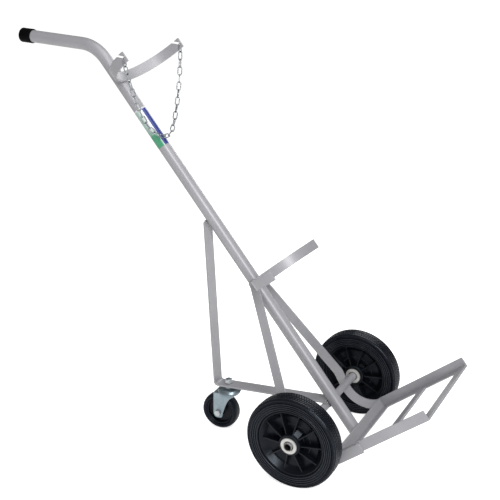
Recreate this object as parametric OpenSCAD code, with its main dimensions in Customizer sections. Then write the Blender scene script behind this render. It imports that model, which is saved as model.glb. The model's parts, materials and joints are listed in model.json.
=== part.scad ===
// Single-cylinder gas bottle trolley with two main wheels and a rear swivel castor.
// Frame of the part: +X points forward over the foot frame, +Y to the left, +Z up.
// The origin lies on the ground, under the middle of the bounding box.
// The spine leans back, and most parts are drawn in the spine's own frame:
// local X runs forward and square to the spine, local Z runs up along the spine,
// and its origin is the middle of the wheel axle.

/* [Spine and handle] */
// Angle that the spine leans back from the vertical, degrees
spine_tilt = 33.6; // [30:0.2:36]
// Outside diameter of the spine tube
spine_od = 34; // [30:0.5:38]
// Wall of the spine tube
spine_wall = 2.6; // [2:0.1:3.2]
// Distance along the spine from the axle to where the two straight runs would cross
spine_len = 1146; // [1130:1:1170]
// Angle that the handle rises towards its end, degrees above level
handle_rise = 8.2; // [4:0.2:14]
// Length of handle from the crossing point to the end of the grip
handle_len = 253.5; // [230:0.5:290]
// Radius of the handle bend, to the tube's centre line
bend_r = 105; // [90:1:120]
// Outside diameter of the end grip
grip_od = 40; // [38:0.5:44]
// Length of the end grip
grip_len = 39; // [35:1:60]

/* [Cradles] */
// Inside radius of the two bottle cradles
cradle_r = 127.5; // [115:0.5:135]
// Thickness of the cradle flat
cradle_t = 5; // [4:0.5:6]
// Width of the cradle flat, along the spine
cradle_w = 27.5; // [25:0.5:30]
// Sweep of each cradle arc, degrees
cradle_sweep = 177; // [160:1:180]
// Distance along the spine from the axle to the lower cradle's bottom edge
lower_cradle_s = 362; // [340:1:390]
// Distance along the spine from the axle to the upper cradle's bottom edge
upper_cradle_s = 1018.5; // [990:1:1035]
// Width of the chain slots
slot_w = 6.5; // [5.5:0.5:8]

/* [Foot frame] */
// Outside width of the foot frame
foot_w = 315.4; // [290:0.2:330]
// Distance from the axle to the front end of the foot frame, square to the spine
foot_reach = 333; // [300:1:345]
// Top edge of the foot frame, below the axle along the spine
foot_top = -85; // [-95:1:-80]
// Leg of the foot frame's steel angle
angle_leg = 28; // [25:1:30]
// Thickness of the angle
angle_t = 3; // [3:0.5:4]
// Width of the flats across the foot frame
cross_w = 24; // [20:1:28]
// Thickness of the flats across the foot frame
cross_t = 6; // [4:0.5:6]
// Front edge of the middle flat, from the axle, square to the spine
middle_f = 206; // [180:1:230]

/* [Struts and rear leg] */
// Width of the side strut flat
strut_w = 28; // [25:0.5:28]
// Thickness of the side strut flat
strut_t = 5; // [4:0.5:5]
// Radius of the strut's lower bend, to its centre line
strut_bend_r = 80; // [70:1:90]
// Distance along the spine to the strut's upper bend
strut_top_s = 374; // [370:1:380]
// Distance along the spine to the strut's middle bend
strut_mid_s = 36; // [30:1:60]
// Width of the rear leg flat
leg_w = 40; // [36:1:44]
// Thickness of the rear leg flat
leg_t = 5; // [4:0.5:6]
// Height of the underside of the rear leg's level run
leg_z = 136; // [136:0.5:138]
// Lean of the rear leg's upright run from the vertical, degrees
leg_lean = 2.6; // [1:0.2:4]
// Outer corner of the rear leg, behind the axle
leg_x = -343; // [-350:1:-335]

/* [Main wheels] */
// Diameter of the main wheels
wheel_d = 250; // [250:1:250]
// Width of the tyres
tyre_w = 48; // [44:1:52]
// Distance from the middle of the trolley to the middle of each tyre
wheel_y = 208; // [207:0.5:212]
// Outside diameter of the axle tube
axle_od = 21.3; // [20:0.1:21.4]
// Wall of the axle tube
axle_wall = 2.6; // [2:0.1:3]
// Diameter of the axle washers
washer_d = 44.5; // [42:0.5:50]
// Number of radial ribs on each hub
rib_n = 10; // [8:1:12]

/* [Castor] */
// Diameter of the castor wheel
castor_d = 108; // [100:1:109]
// Width of the castor wheel
castor_w = 36; // [30:1:38]
// Distance from the axle back to the king bolt
king_x = 304; // [298:1:308]
// Trail of the castor wheel behind the king bolt
trail = 33; // [30:1:35]
// Angle that the castor points to at rest, degrees
castor_turn = 3; // [0:1:20]

/* [Chain] */
// Wire diameter of the chain links
link_wire = 3; // [2.5:0.1:3.2]
// Pitch of the chain links
link_pitch = 20.6; // [20:0.1:21]
// Outside width of a chain link
link_w = 13.4; // [13.4:0.1:14]

/* [Hidden] */

$fn = 64;
eps = 0.01;
wheel_r = wheel_d / 2;
spine_r = spine_od / 2;
axle_r = axle_od / 2;
spine_f = spine_r + axle_r;             // spine axis ahead of the axle axis
bend_a = 90 - spine_tilt - handle_rise; // angle of the handle bend
bend_t = bend_r * tan(bend_a / 2);      // tangent length of the bend
grip_end_t = 3;
handle_run = handle_len - bend_t - grip_end_t;
spine_end = foot_top - angle_leg + 2;
cradle_ro = cradle_r + cradle_t;
cradle_f = spine_f + spine_r + cradle_ro; // centre of the cradles, ahead of the axle
foot_bot = foot_top - angle_leg;
foot_back = spine_f + spine_r + angle_t;  // front face of the back angle
// box centre of the whole trolley, from its rearmost and foremost points
function lx(f, s) = f * cos(spine_tilt) - s * sin(spine_tilt);
function lz(f, s) = wheel_r + f * sin(spine_tilt) + s * cos(spine_tilt);
grip_x = lx(spine_f, spine_len) - handle_len * cos(handle_rise) - grip_od / 2 * sin(handle_rise) + 0.33;
toe_x = lx(foot_reach, foot_bot);
mid_x = (grip_x + toe_x) / 2;
castor_r = castor_d / 2;

steel = [0.66, 0.66, 0.68];
zinc = [0.62, 0.68, 0.70];
black = [0.07, 0.07, 0.08];

module cart() { translate([-mid_x, 0, 0]) children(); }
module on_spine() { cart() translate([0, 0, wheel_r]) rotate([0, -spine_tilt, 0]) children(); }
module ring(ro, ri, h) { difference() { cylinder(h = h, r = ro); translate([0, 0, -1]) cylinder(h = h + 2, r = ri); } }
// a cylinder and a ring that run along Y, from y to y + h
module ycyl(y, r, h) { translate([0, y + h, 0]) rotate([90, 0, 0]) cylinder(h = h, r = r); }
module yring(y, ro, ri, h) { translate([0, y + h, 0]) rotate([90, 0, 0]) ring(ro, ri, h); }
// a profile drawn as [radius, y], turned about the Y axis
module yturn(y) { translate([0, y, 0]) rotate([-90, 0, 0]) rotate_extrude() children(); }

module spine_tube() color(steel) on_spine() {
  difference() {
    union() {
      translate([spine_f, 0, spine_end]) cylinder(h = spine_len - bend_t - spine_end, r = spine_r);
      translate([spine_f - bend_r, 0, spine_len - bend_t]) {
        rotate([90, 0, 0]) rotate_extrude(angle = bend_a) translate([bend_r, 0]) circle(r = spine_r);
        rotate([0, -bend_a, 0]) translate([bend_r, 0, 0]) cylinder(h = handle_run, r = spine_r);
      }
    }
    translate([spine_f, 0, spine_end - 1]) cylinder(h = spine_len - bend_t - spine_end + 1, r = spine_r - spine_wall);
    translate([spine_f - bend_r, 0, spine_len - bend_t]) {
      rotate([90, 0, 0]) rotate_extrude(angle = bend_a) translate([bend_r, 0]) circle(r = spine_r - spine_wall);
      rotate([0, -bend_a, 0]) translate([bend_r, 0, 0]) cylinder(h = handle_run + 1, r = spine_r - spine_wall);
    }
  }
}

// push-on cap of the handle, closed at its end, with a soft lip
module handle_grip() color(black) on_spine()
  translate([spine_f - bend_r, 0, spine_len - bend_t]) rotate([0, -bend_a, 0])
    translate([bend_r, 0, handle_run + grip_end_t - grip_len]) rotate_extrude()
      polygon([[spine_r, 0], [grip_od / 2 - 1, 0], [grip_od / 2, 1], [grip_od / 2, grip_len - 4],
        [grip_od / 2 - 1.2, grip_len - 1.2], [grip_od / 2 - 4, grip_len], [0, grip_len],
        [0, grip_len - grip_end_t], [spine_r, grip_len - grip_end_t]]);

module cradle_arc(s) translate([cradle_f, 0, s]) rotate([0, 0, 180 - cradle_sweep / 2])
  rotate_extrude(angle = cradle_sweep) translate([cradle_r, 0]) square([cradle_t, cradle_w]);

// slot for the chain, slanted forward and down from the top edge of both arms
slot_f = 168;
slot_s = upper_cradle_s + 13;
module chain_slot() translate([slot_f, 0, slot_s]) rotate([0, -45, 0]) {
  ycyl(-150, slot_w / 2, 300);
  translate([-slot_w / 2, -150, 0]) cube([slot_w, 300, 40]);
}
module upper_cradle() color(steel) on_spine() difference() { cradle_arc(upper_cradle_s); chain_slot(); }
module lower_cradle() color(steel) on_spine() cradle_arc(lower_cradle_s);

// side strut, drawn for the left side: a tab on the tube, an inclined run,
// and a lower run that bends on edge to lie along the foot angle
strut_y = foot_w / 2;            // inner face of the lower run
strut_bot_s = foot_top - strut_w / 2 - 3.5;
strut_rear_f = -axle_r - 0.35 - strut_w / 2;
strut_end_f = 125;
strut_tab_f = 32;
tab_y = spine_r;                 // inner face of the tab
strut_rise = (strut_tab_f - strut_rear_f) / (strut_top_s);
strut_lean = atan(strut_rise);
arc_f = strut_rear_f + strut_bend_r - 3;
arc_s = strut_bot_s + strut_bend_r;
strut_end_s = strut_top_s + 14;
strut_a = atan((strut_y - tab_y) / (strut_top_s - strut_mid_s));
strut_k = strut_t / 2 * tan(strut_a / 2);
// points along an arc, and a point on a leaning edge at a given height
function arc_pts(cx, cy, r, a0, a1, n) = [for (i = [0:n]) let(a = a0 + (a1 - a0) * i / n) [cx + r * cos(a), cy + r * sin(a)]];
function lean_pt(cx, cy, r, lean, top) = [cx - r * cos(lean) + (top - cy - r * sin(lean)) * tan(lean), top];
// outline seen from the side: lower run, bend on edge, leaning run
strut_side = concat([[strut_end_f, strut_bot_s - strut_w / 2]],
  arc_pts(arc_f, arc_s, strut_bend_r + strut_w / 2, 270, 180 - strut_lean, 24),
  [lean_pt(arc_f, arc_s, strut_bend_r + strut_w / 2, strut_lean, strut_end_s),
   lean_pt(arc_f, arc_s, strut_bend_r - strut_w / 2, strut_lean, strut_end_s)],
  arc_pts(arc_f, arc_s, strut_bend_r - strut_w / 2, 180 - strut_lean, 270, 24),
  [[strut_end_f, strut_bot_s + strut_w / 2]]);
// outline seen from the front: lower run, inward lean, tab
strut_front = [[strut_y, -200], [strut_y + strut_t, -200], [strut_y + strut_t, strut_mid_s + strut_k],
  [tab_y + strut_t, strut_top_s + strut_k], [tab_y + strut_t, strut_end_s + 9], [tab_y, strut_end_s + 9],
  [tab_y, strut_top_s - strut_k], [strut_y, strut_mid_s - strut_k]];
module strut() difference() {
  intersection() {
    translate([0, strut_y + strut_t + 4, 0]) rotate([90, 0, 0]) linear_extrude(strut_y + strut_t - tab_y + 8) polygon(strut_side);
    translate([-100, 0, 0]) rotate([90, 0, 90]) linear_extrude(300) polygon(strut_front);
  }
  // the tab's front corner is trimmed to the back of the lower cradle
  translate([cradle_f, 0, lower_cradle_s - 0.4]) cylinder(h = 60, r = cradle_ro + 0.1);
}
module left_strut() color(steel) on_spine() strut();
module right_strut() color(steel) on_spine() mirror([0, 1, 0]) strut();

// rear leg: one flat bent into an L, cut flush with the back of the spine at both ends
leg_ri = 7;
leg_top = 621.5;
leg_ro = leg_ri + leg_t;
leg_cx = leg_x + leg_ro / tan((90 - leg_lean) / 2);
leg_cz = leg_z + leg_ro;
leg_side = concat([[60, leg_z]], arc_pts(leg_cx, leg_cz, leg_ro, 270, 180 - leg_lean, 12),
  [lean_pt(leg_cx, leg_cz, leg_ro, leg_lean, 1000), lean_pt(leg_cx, leg_cz, leg_ri, leg_lean, 1000)],
  arc_pts(leg_cx, leg_cz, leg_ri, 180 - leg_lean, 270, 12), [[60, leg_z + leg_t]]);
module rear_leg() color(steel) cart() difference() {
  translate([0, leg_w / 2, 0]) rotate([90, 0, 0]) linear_extrude(leg_w) polygon(leg_side);
  // everything ahead of the back of the spine goes
  translate([0, -50, wheel_r]) rotate([0, -spine_tilt, 0]) translate([spine_f - spine_r, 0, -300]) cube([2000, 100, 2400]);
  // the top end is cut level, and the level run takes the castor's king bolt
  translate([-1000, -50, leg_top]) cube([1200, 100, 600]);
  translate([-king_x, 0, leg_z - 1]) cylinder(h = leg_t + 2, r = king_r + 0.15);
}

module foot_back_angle() color(steel) on_spine() {
  translate([foot_back - angle_t, -foot_w / 2, foot_bot]) cube([angle_t, foot_w, angle_leg]);
  translate([0, 0, foot_bot]) linear_extrude(angle_t) polygon([
    [foot_back - eps, foot_w / 2 - angle_t], [foot_back, foot_w / 2 - angle_t],
    [foot_back + angle_leg - angle_t, foot_w / 2 - angle_leg],
    [foot_back + angle_leg - angle_t, -foot_w / 2 + angle_leg],
    [foot_back, -foot_w / 2 + angle_t], [foot_back - eps, -foot_w / 2 + angle_t]]);
}
module side_angle() {
  translate([foot_back, foot_w / 2 - angle_t, foot_bot]) cube([foot_reach - foot_back, angle_t, angle_leg]);
  translate([0, 0, foot_bot]) linear_extrude(angle_t) polygon([
    [foot_back, foot_w / 2 - angle_t], [foot_back, foot_w / 2 - angle_t + eps],
    [foot_reach - cross_w, foot_w / 2 - angle_t + eps], [foot_reach - cross_w, foot_w / 2 - angle_leg],
    [foot_back + angle_leg - angle_t, foot_w / 2 - angle_leg]]);
}
module foot_left_angle() color(steel) on_spine() side_angle();
module foot_right_angle() color(steel) on_spine() mirror([0, 1, 0]) side_angle();
// the front flat reaches from wall to wall of the angles, the middle one from flange to flange
module cross_bar(f, y) translate([f - cross_w, -y, foot_bot]) cube([cross_w, 2 * y, cross_t]);
module foot_front_bar() color(steel) on_spine() cross_bar(foot_reach, foot_w / 2 - angle_t);
module foot_middle_bar() color(steel) on_spine() cross_bar(middle_f, foot_w / 2 - angle_leg);

// axle
hub_len = 55;
hub_in = wheel_y - 26.5;       // inner end of each hub
hub_out = hub_in + hub_len;
wash_t = 3;
axle_end = hub_out + 0.4 + wash_t + 4.7;
module axle_tube() color(steel) cart() translate([0, 0, wheel_r]) yring(-axle_end, axle_r, axle_r - axle_wall, 2 * axle_end);
module axle_inner_washers() color([0.78, 0.76, 0.74]) cart() translate([0, 0, wheel_r])
  for (m = [0, 1]) mirror([0, m, 0]) yring(hub_in - 0.4 - wash_t, washer_d / 2 - 0.5, axle_r, wash_t);
module axle_outer_washers() color([0.78, 0.78, 0.77]) cart() translate([0, 0, wheel_r])
  for (m = [0, 1]) mirror([0, m, 0]) yturn(hub_out + 0.4) polygon([[axle_r, 0], [washer_d / 2, 0],
    [washer_d / 2, wash_t - 0.6], [washer_d / 2 - 0.6, wash_t], [13.4, wash_t], [12.4, wash_t - 2.2], [axle_r, wash_t - 2.2]]);
// stuck-on label, wrapped round the back of the spine
module tube_label() color("white") on_spine() translate([spine_f, 0, 819.5]) rotate([0, 0, -150])
  rotate_extrude(angle = 160) translate([spine_r, 0]) square([0.3, 118.5]);

// main wheels, drawn about their own centre, the outer side towards +Y
module tyre() yturn(0) polygon([[91, -19], [93, -22.6], [97, -24], [119, -24], [122.4, -21.5], [124.4, -15], [wheel_r, -5],
  [wheel_r, 5], [124.4, 15], [122.4, 21.5], [119, 24], [97, 24], [93, 22.6], [91, 19]]);
module hub() {
  yturn(0) polygon([[13, -26.5], [27, -26.5], [29, -24.5], [29.5, -2.5], [84, -2.5], [84.5, -18], [88, -20.5], [90.7, -19], [91, -18.5],
    [91, 18.5], [90.7, 19], [88, 20.5], [84.5, 18], [84, 2.5], [29.5, 2.5], [29, 26.5], [27, 28.5], [13, 28.5]]);
  for (i = [0:rib_n - 1]) rotate([0, -360 / rib_n * i, 0]) translate([0, 0, -1.5]) linear_extrude(3)
    polygon([[28, -21], [45, -19], [85, -14], [85, 14], [45, 20], [28, 23]]);
  // moulded boss beside the hub
  rotate([0, -54, 0]) translate([36, 0, 0]) ycyl(-17, 6, 36);
}
module bush() yring(-26.5, 13, axle_r + 0.08, hub_len);
module at_wheel(m) cart() translate([0, 0, wheel_r]) mirror([0, m, 0]) translate([0, wheel_y, 0]) children();
module left_tyre() color(black) at_wheel(0) tyre();
module left_hub() color(black) at_wheel(0) hub();
module left_bush() color([0.2, 0.2, 0.2]) at_wheel(0) bush();
module right_tyre() color(black) at_wheel(1) tyre();
module right_hub() color(black) at_wheel(1) hub();
module right_bush() color([0.2, 0.2, 0.2]) at_wheel(1) bush();

// castor: the king bolt stands at the origin of castor(), heights from the ground
module castor_place() cart() translate([-king_x, 0, 0]) children();
module castor_turned() castor_place() rotate([0, 0, castor_turn]) children();
king_r = 6;
race_z = 119;
module castor_top_race() color(zinc) castor_place() rotate_extrude() polygon([
  [king_r, race_z + 3.4], [21, race_z + 3.2], [26.5, race_z + 2.8], [31.5, race_z - 1.5], [33.5, race_z - 1.5], [34, race_z],
  [30, race_z + 6.5], [22, race_z + 9], [14, race_z + 9], [13, leg_z], [king_r, leg_z]]);
module castor_balls() color("silver") castor_place() for (i = [0:15]) rotate([0, 0, i * 22.5]) translate([23.5, 0, race_z - 0.4]) sphere(r = 3.2);
module castor_king_bolt() color(zinc) castor_place() {
  translate([0, 0, race_z - 14]) cylinder(h = 4, r = 9.5);
  translate([0, 0, race_z - 10]) cylinder(h = leg_z + leg_t + 14.5 - race_z + 10, r = king_r);
}
module castor_spring_washer() color(zinc) castor_place() translate([0, 0, leg_z + leg_t]) ring(10.4, king_r, 2);
module castor_king_nut() color(zinc) castor_place() translate([0, 0, leg_z + leg_t + 2]) difference() {
  intersection() {
    cylinder(h = 10, r = 11.6, $fn = 6);
    rotate_extrude() polygon([[0, 0], [11.8, 0], [11.8, 8.6], [10.1, 10], [0, 10]]);
  }
  translate([0, 0, -1]) cylinder(h = 12, r = king_r);
}
// pressed fork: crown with the lower ball track, and two tapering legs
fork_in = castor_w / 2 + 2.6;
fork_t = 3;
fork_side = [[-trail - 4, 38.6], [-trail - 8.6, 40.2], [-trail - 11.8, 43.6], [-trail - 13.6, 48.5], [-trail - 14, 54], [-trail - 9, 100], [-trail - 8, 110],
  [-trail - 8, 117], [22, 117], [22, 110.5], [20, 108.2], [12.5, 104], [6, 98], [1, 92], [-trail + 24, 73], [-trail + 16, 55], [-trail + 13.6, 45.5],
  [-trail + 11, 41], [-trail + 7, 38.8]];
module fork_leg() translate([0, fork_in + fork_t, 0]) rotate([90, 0, 0]) linear_extrude(fork_t) difference() {
  polygon(fork_side);
  translate([-trail, castor_r]) circle(r = 5.05);
}
module castor_fork() color(zinc) castor_turned() {
  difference() {
    union() {
      fork_leg();
      mirror([0, 1, 0]) fork_leg();
      translate([-trail - 8, -fork_in - fork_t, 109.4]) cube([trail + 30, 2 * (fork_in + fork_t), 7.6]);
    }
    // room for the balls and the top race
    translate([0, 0, 113.4]) cylinder(h = 10, r = 30.6);
    translate([0, 0, 100]) cylinder(h = 20, r = king_r + 0.3);
  }
  rotate_extrude() polygon([[king_r + 0.3, 109.4], [28, 109.4], [30.5, 112], [30.5, 115], [29, 116.3], [27.2, 116.3],
    [25.5, 115], [21.5, 115], [19.5, 116.3], [15, 116.3], [king_r + 0.3, 116.3]]);
}
module at_castor_axle() castor_turned() translate([-trail, 0, castor_r]) children();
fork_out = fork_in + fork_t;
module castor_axle_bolt() color(zinc) at_castor_axle() {
  ycyl(-fork_out, 5, 2 * fork_out + 9);
  translate([0, -fork_out, 0]) rotate([90, 0, 0]) cylinder(h = 6, r = 9, $fn = 6);
}
module castor_axle_nut() color(zinc) at_castor_axle() translate([0, fork_out + 7, 0]) rotate([90, 0, 0]) difference() {
  cylinder(h = 7, r = 9, $fn = 6);
  translate([0, 0, -1]) cylinder(h = 9, r = 5);
}
module castor_tyre() color(black) at_castor_axle() yturn(0) polygon([[40, -13.4], [42, -15.6], [46.5, -castor_w / 2], [50.2, -16.8],
  [52.8, -12.6], [castor_r, -6], [castor_r, 6], [52.8, 12.6], [50.2, 16.8], [46.5, castor_w / 2], [42, 15.6], [40, 13.4]]);
castor_hub_y = castor_w / 2 + 2.1;
module castor_hub() color(black) at_castor_axle() yturn(0) polygon([[8, -castor_hub_y], [13, -castor_hub_y], [14, 1 - castor_hub_y], [15, -5],
  [34, -4.5], [35, -12.4], [38, -14], [40, -13.4], [40, 13.4], [38, 14], [35, 12.4], [34, 4.5], [15, 5], [14, castor_hub_y - 1],
  [13, castor_hub_y], [8, castor_hub_y]]);
module castor_sleeve() color("silver") at_castor_axle() yring(-castor_hub_y, 8, 5.08, 2 * castor_hub_y);

// retaining chain: an end link straddles each arm of the upper cradle with its crown in the slot,
// and 25 links hang between them
hook_x = lx(slot_f, slot_s);
hook_z = lz(slot_f, slot_s);
hook_y = 129.75 + cradle_r - 127.5;
chain_n = 25;
wire_r = link_wire / 2 - 0.05;
crown = link_pitch / 2 + 1.4;              // link centre to the wire's centre at its crown
chain_half = chain_n * link_pitch / 2;
function sinh(x) = (exp(x) - exp(-x)) / 2;
function cosh(x) = (exp(x) + exp(-x)) / 2;
function asinh(x) = ln(x + sqrt(x * x + 1));
// catenary parameter for the half span w and the half length l, by halving
function cat_a(w, l, lo, hi, n) = n == 0 ? (lo + hi) / 2 :
  let(m = (lo + hi) / 2) m * sinh(w / m) > l ? cat_a(w, l, m, hi, n - 1) : cat_a(w, l, lo, m, n - 1);
chain_a = cat_a(hook_y, chain_half, 30, 120, 30);
chain_drop = chain_a * (cosh(hook_y / chain_a) - 1);
// y and z at a given length along the chain from its lowest point
function cat_y(l) = chain_a * asinh(l / chain_a);
function cat_z(l) = chain_a * (cosh(asinh(l / chain_a)) - 1);
// forward bulge where the chain lies over the front of the spine
function cat_x(l) = 13 * exp(-pow(l / 60, 2));
module link() {
  r = link_w / 2 - link_wire / 2;
  c = crown - r;
  for (m = [0, 1]) rotate([0, 0, 180 * m]) {
    translate([c, 0, 0]) rotate([0, 0, -90]) rotate_extrude(angle = 180, $fn = 32) translate([r, 0]) circle(r = wire_r, $fn = 24);
    translate([-c, r, 0]) rotate([0, 90, 0]) cylinder(h = 2 * c, r = wire_r, $fn = 24);
  }
}
module retaining_chain() color(zinc) cart() translate([hook_x, 0, hook_z]) {
  for (m = [-1, 1]) translate([0, m * hook_y, -crown]) rotate([0, 90, 0]) link();
  translate([0, 0, -link_pitch - 1.4 - chain_drop]) for (i = [0:chain_n - 1]) {
    l0 = -chain_half + link_pitch * i;
    l1 = l0 + link_pitch;
    p0 = [cat_x(l0), cat_y(l0), cat_z(l0)];
    p1 = [cat_x(l1), cat_y(l1), cat_z(l1)];
    d = p1 - p0;
    // the run twists by 45 degrees away from its ends
    twist = 45 * min(1, i / 4, (chain_n - 1 - i) / 4);
    translate((p0 + p1) / 2) rotate([0, 0, atan2(d[1], d[0])]) rotate([0, -asin(d[2] / norm(d)), 0])
      rotate([(i % 2 == 0 ? 0 : 90) + twist, 0, 0]) link();
  }
}

spine_tube();
handle_grip();
upper_cradle();
lower_cradle();
left_strut();
right_strut();
rear_leg();
foot_back_angle();
foot_left_angle();
foot_right_angle();
foot_front_bar();
foot_middle_bar();
axle_tube();
axle_inner_washers();
axle_outer_washers();
tube_label();
castor_top_race();
castor_balls();
castor_king_bolt();
castor_king_nut();
castor_spring_washer();
castor_fork();
castor_axle_bolt();
castor_axle_nut();
castor_tyre();
castor_hub();
castor_sleeve();
left_tyre();
left_hub();
left_bush();
right_tyre();
right_hub();
right_bush();
retaining_chain();
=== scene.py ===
import bpy, bmesh, json, math, random
from mathutils import Matrix, Vector, noise


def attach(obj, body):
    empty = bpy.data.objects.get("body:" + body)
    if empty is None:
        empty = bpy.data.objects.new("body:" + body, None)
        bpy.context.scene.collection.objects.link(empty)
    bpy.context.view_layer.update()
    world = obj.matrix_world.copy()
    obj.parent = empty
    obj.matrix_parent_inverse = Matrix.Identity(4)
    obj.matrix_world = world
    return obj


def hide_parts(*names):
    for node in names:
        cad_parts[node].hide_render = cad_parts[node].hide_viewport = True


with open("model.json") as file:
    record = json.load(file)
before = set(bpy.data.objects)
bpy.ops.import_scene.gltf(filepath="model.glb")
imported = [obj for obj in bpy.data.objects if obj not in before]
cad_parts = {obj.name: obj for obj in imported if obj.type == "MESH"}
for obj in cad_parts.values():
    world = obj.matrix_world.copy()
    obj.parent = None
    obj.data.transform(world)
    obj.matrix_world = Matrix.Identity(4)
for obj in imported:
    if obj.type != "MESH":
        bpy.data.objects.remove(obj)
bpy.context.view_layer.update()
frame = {"nodes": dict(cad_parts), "record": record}

scene = bpy.context.scene
REC = frame["record"]
NODE = frame["nodes"]
BODY = {n: b for b, ns in REC["behaviour"]["bodies"].items() for n in ns}
SLOT = {s["node"]: s["material_slot"] for s in REC["subparts"]}
MM = 0.001
JOINT = {j["name"]: j for j in REC["behaviour"]["joints"]}
MID = -JOINT["left_wheel_spin"]["pos_m"][0]
TILT = math.radians(33.6)
AXLE = Vector((-MID, 0.0, 0.125))
SPINE = Matrix.Translation(AXLE) @ Matrix.Rotation(-TILT, 4, "Y")
random.seed(7)


def W(f, y, s):
    """A point of the spine's own frame, given in millimetres, as a point of the row."""
    return SPINE @ Vector((f * MM, y * MM, s * MM))


# ------------------------------------------------------------------ materials
class Nodes:
    """Short calls for building a node tree."""

    def __init__(self, name):
        self.mat = bpy.data.materials.new(name)
        self.mat.use_nodes = True
        self.nt = self.mat.node_tree
        self.nt.nodes.clear()
        self.out = self.nt.nodes.new("ShaderNodeOutputMaterial")
        self.bsdf = self.nt.nodes.new("ShaderNodeBsdfPrincipled")
        self.link(self.bsdf.outputs[0], self.out.inputs[0])
        self.co = self.nt.nodes.new("ShaderNodeTexCoord").outputs["Object"]

    def link(self, a, b):
        self.nt.links.new(a, b)

    def noise(self, scale, detail=3.0, rough=0.5, dist=0.0, co=None):
        n = self.nt.nodes.new("ShaderNodeTexNoise")
        n.inputs["Scale"].default_value = scale
        n.inputs["Detail"].default_value = detail
        n.inputs["Roughness"].default_value = rough
        n.inputs["Distortion"].default_value = dist
        self.link(co or self.co, n.inputs["Vector"])
        return n.outputs["Fac"]

    def voronoi(self, scale, out="Color", co=None, feature="F1"):
        n = self.nt.nodes.new("ShaderNodeTexVoronoi")
        n.feature = feature
        n.inputs["Scale"].default_value = scale
        self.link(co or self.co, n.inputs["Vector"])
        return n.outputs[out]

    def ramp(self, fac, stops, mode="LINEAR"):
        n = self.nt.nodes.new("ShaderNodeValToRGB")
        n.color_ramp.interpolation = mode
        e = n.color_ramp.elements
        while len(e) < len(stops):
            e.new(0.5)
        for i, (p, c) in enumerate(stops):
            e[i].position = p
            c = (c, c, c) if isinstance(c, (int, float)) else c
            e[i].color = (c[0], c[1], c[2], 1.0)
        self.link(fac, n.inputs[0])
        return n.outputs[0]

    def math(self, op, a, b=0.0, c=0.0, clamp=False):
        n = self.nt.nodes.new("ShaderNodeMath")
        n.operation = op
        n.use_clamp = clamp
        for i, v in enumerate((a, b, c)):
            if isinstance(v, (int, float)):
                n.inputs[i].default_value = v
            else:
                self.link(v, n.inputs[i])
        return n.outputs[0]

    def mix(self, fac, a, b, blend="MIX"):
        n = self.nt.nodes.new("ShaderNodeMix")
        n.data_type = "RGBA"
        n.blend_type = blend
        for i, v in ((0, fac), (6, a), (7, b)):
            if isinstance(v, (int, float)):
                n.inputs[i].default_value = v
            elif isinstance(v, tuple):
                n.inputs[i].default_value = (v[0], v[1], v[2], 1.0)
            else:
                self.link(v, n.inputs[i])
        return n.outputs[2]

    def split(self, co=None):
        n = self.nt.nodes.new("ShaderNodeSeparateXYZ")
        self.link(co or self.co, n.inputs[0])
        return n.outputs[0], n.outputs[1], n.outputs[2]

    def join(self, x, y, z):
        n = self.nt.nodes.new("ShaderNodeCombineXYZ")
        for i, v in enumerate((x, y, z)):
            if isinstance(v, (int, float)):
                n.inputs[i].default_value = v
            else:
                self.link(v, n.inputs[i])
        return n.outputs[0]

    def edge(self, radius=0.0015):
        """1 along convex and concave edges, 0 on plain faces."""
        b = self.nt.nodes.new("ShaderNodeBevel")
        b.samples = 6
        b.inputs["Radius"].default_value = radius
        g = self.nt.nodes.new("ShaderNodeNewGeometry")
        d = self.nt.nodes.new("ShaderNodeVectorMath")
        d.operation = "DOT_PRODUCT"
        self.link(b.outputs[0], d.inputs[0])
        self.link(g.outputs["Normal"], d.inputs[1])
        return self.math("MULTIPLY", self.math("SUBTRACT", 1.0, d.outputs["Value"]), 6.0, clamp=True)

    def up(self):
        """1 where the surface faces up."""
        g = self.nt.nodes.new("ShaderNodeNewGeometry")
        return self.split(g.outputs["Normal"])[2]

    def bump(self, *layers):
        """layers: (height, strength, distance) from the coarsest to the finest."""
        last = None
        for h, strength, dist in layers:
            b = self.nt.nodes.new("ShaderNodeBump")
            b.inputs["Strength"].default_value = strength
            b.inputs["Distance"].default_value = dist
            self.link(h, b.inputs["Height"])
            if last is not None:
                self.link(last, b.inputs["Normal"])
            last = b.outputs[0]
        self.link(last, self.bsdf.inputs["Normal"])

    def set(self, **kw):
        for k, v in kw.items():
            k = k.replace("_", " ")
            s = self.bsdf.inputs[k]
            if isinstance(v, (int, float)):
                s.default_value = v
            elif isinstance(v, tuple):
                s.default_value = (v[0], v[1], v[2], 1.0) if len(s.default_value) == 4 else v
            else:
                self.link(v, s)
        return self


def axle_radius(m):
    """Distance from the axis of the main axle, in metres."""
    x, y, z = m.split()
    dx = m.math("SUBTRACT", x, -MID)
    dz = m.math("SUBTRACT", z, 0.125)
    return m.math("SQRT", m.math("ADD", m.math("MULTIPLY", dx, dx), m.math("MULTIPLY", dz, dz)))


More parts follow.
